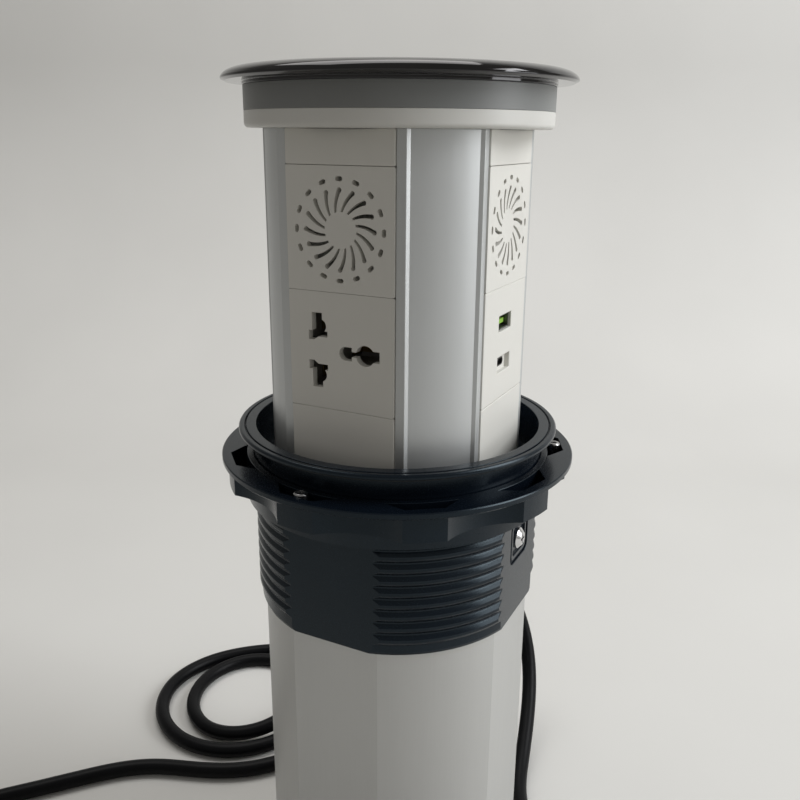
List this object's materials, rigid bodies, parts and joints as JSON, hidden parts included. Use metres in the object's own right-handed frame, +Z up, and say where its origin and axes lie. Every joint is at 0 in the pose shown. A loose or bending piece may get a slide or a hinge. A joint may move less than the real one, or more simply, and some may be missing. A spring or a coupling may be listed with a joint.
{
  "type": "pop up desk socket",
  "caption": "Round desk collar with a clamp nut, from which a four-sided column with mains sockets, USB ports and speaker grilles rises under a round lid.",
  "frame": {"origin": "centre of the underside of the bottom cap", "axes": "+Z up along the column, -Y out of the face with a speaker over a socket, +X out of the face with the USB ports"},
  "size_m": [0.3113, 0.318, 0.3775],
  "materials": {
    "black_plastic": "satin",
    "gasket": "matte",
    "dark_nylon": "matte",
    "inner_nylon": "matte",
    "port_steel": "dull nickel",
    "screw_chrome": "polished",
    "jack_steel": "zinc plated",
    "tube_aluminium": "anodised satin",
    "bracket_aluminium": "satin",
    "motor_grey": "brushed",
    "board_green": "gloss",
    "cord_black": "satin",
    "screw_steel": "brushed",
    "lid_chrome": "dark polished",
    "lid_glass": "gloss black",
    "band_grey": "satin",
    "light_white": "translucent satin",
    "post_aluminium": "anodised satin",
    "plate_white": "fine satin",
    "cone_paper": "matte",
    "contact_brass": "satin",
    "tongue_green": "satin",
    "shoe_white": "matte"
  },
  "bodies": {
    "base": {"collar": "black_plastic", "barrel": "black_plastic", "rim_gasket": "gasket", "guide_ring": "dark_nylon", "collar_screws": "screw_chrome", "tube": "tube_aluminium", "bottom_cap": "dark_nylon", "cap_screws": "screw_chrome", "motor_bracket": "bracket_aluminium", "gear_motor": "motor_grey", "control_board": "board_green", "cable_gland": "dark_nylon", "cord": "cord_black", "plug_body": "cord_black", "plug_pins": "screw_chrome"},
    "column": {"lid_trim": "lid_chrome", "lid_glass": "lid_glass", "grey_band": "band_grey", "light_ring": "light_white", "lamp_board": "board_green", "column_head": "dark_nylon", "head_screws": "screw_chrome", "post_1": "post_aluminium", "post_2": "post_aluminium", "post_3": "post_aluminium", "post_4": "post_aluminium", "top_fillers": "plate_white", "bottom_fillers": "plate_white", "speaker_plate_1": "plate_white", "speaker_plate_2": "plate_white", "blank_plate_1": "plate_white", "blank_plate_2": "plate_white", "socket_plate_1": "plate_white", "socket_plate_2": "plate_white", "socket_plate_3": "plate_white", "usb_plate": "plate_white", "speaker_basket_1": "inner_nylon", "speaker_basket_2": "inner_nylon", "speaker_magnets": "motor_grey", "socket_housing_1": "inner_nylon", "socket_housing_2": "inner_nylon", "socket_housing_3": "inner_nylon", "socket_contacts": "contact_brass", "usb_board": "board_green", "usb_a_shell": "port_steel", "usb_a_tongue": "tongue_green", "usb_c_shell": "port_steel", "usb_c_tongue": "dark_nylon", "carriage": "dark_nylon", "guide_shoes": "shoe_white", "drive_nut": "contact_brass"},
    "screw": {"lead_screw": "screw_steel", "shaft_coupling": "bracket_aluminium"},
    "bush": {"nut_bush": "black_plastic"},
    "nut": {"clamp_nut": "black_plastic"},
    "jack_1": {"jack_screw_1": "jack_steel"},
    "jack_2": {"jack_screw_2": "jack_steel"},
    "jack_3": {"jack_screw_3": "jack_steel"},
    "cone_1": {"speaker_cone_1": "cone_paper"},
    "cone_2": {"speaker_cone_2": "cone_paper"}
  },
  "joints": [
    {"name": "column_lift", "type": "slide", "parent": "base", "child": "column", "axis": [0, 0, 1], "range_m": [-0.136, 0]},
    {"name": "screw_spin", "type": "hinge", "parent": "base", "child": "screw", "pos_m": [0, 0, 0.05], "axis": [0, 0, 1], "range_deg": [-6130, 10]},
    {"name": "nut_travel", "type": "slide", "parent": "base", "child": "bush", "axis": [0, 0, 1], "range_m": [-0.036, 0.004]},
    {"name": "nut_spin", "type": "hinge", "parent": "bush", "child": "nut", "pos_m": [0, 0, 0.215], "axis": [0, 0, 1], "range_deg": [-2600, 300]},
    {"name": "jack_1_travel", "type": "slide", "parent": "nut", "child": "jack_1", "axis": [0, 0, 1], "range_m": [0, 0.0025]},
    {"name": "jack_2_travel", "type": "slide", "parent": "nut", "child": "jack_2", "axis": [0, 0, 1], "range_m": [0, 0.0025]},
    {"name": "jack_3_travel", "type": "slide", "parent": "nut", "child": "jack_3", "axis": [0, 0, 1], "range_m": [0, 0.0025]},
    {"name": "cone_1_stroke", "type": "slide", "parent": "column", "child": "cone_1", "axis": [0, -1, 0], "range_m": [-0.0004, 0.0004], "stiffness_N_per_m": 800},
    {"name": "cone_2_stroke", "type": "slide", "parent": "column", "child": "cone_2", "axis": [1, 0, 0], "range_m": [-0.0004, 0.0004], "stiffness_N_per_m": 800}
  ],
  "couplings": [
    {"joint": "screw_spin", "follows": "column_lift", "rad_per_m": 785.4},
    {"joint": "nut_spin", "follows": "nut_travel", "rad_per_m": 1208.3}
  ]
}
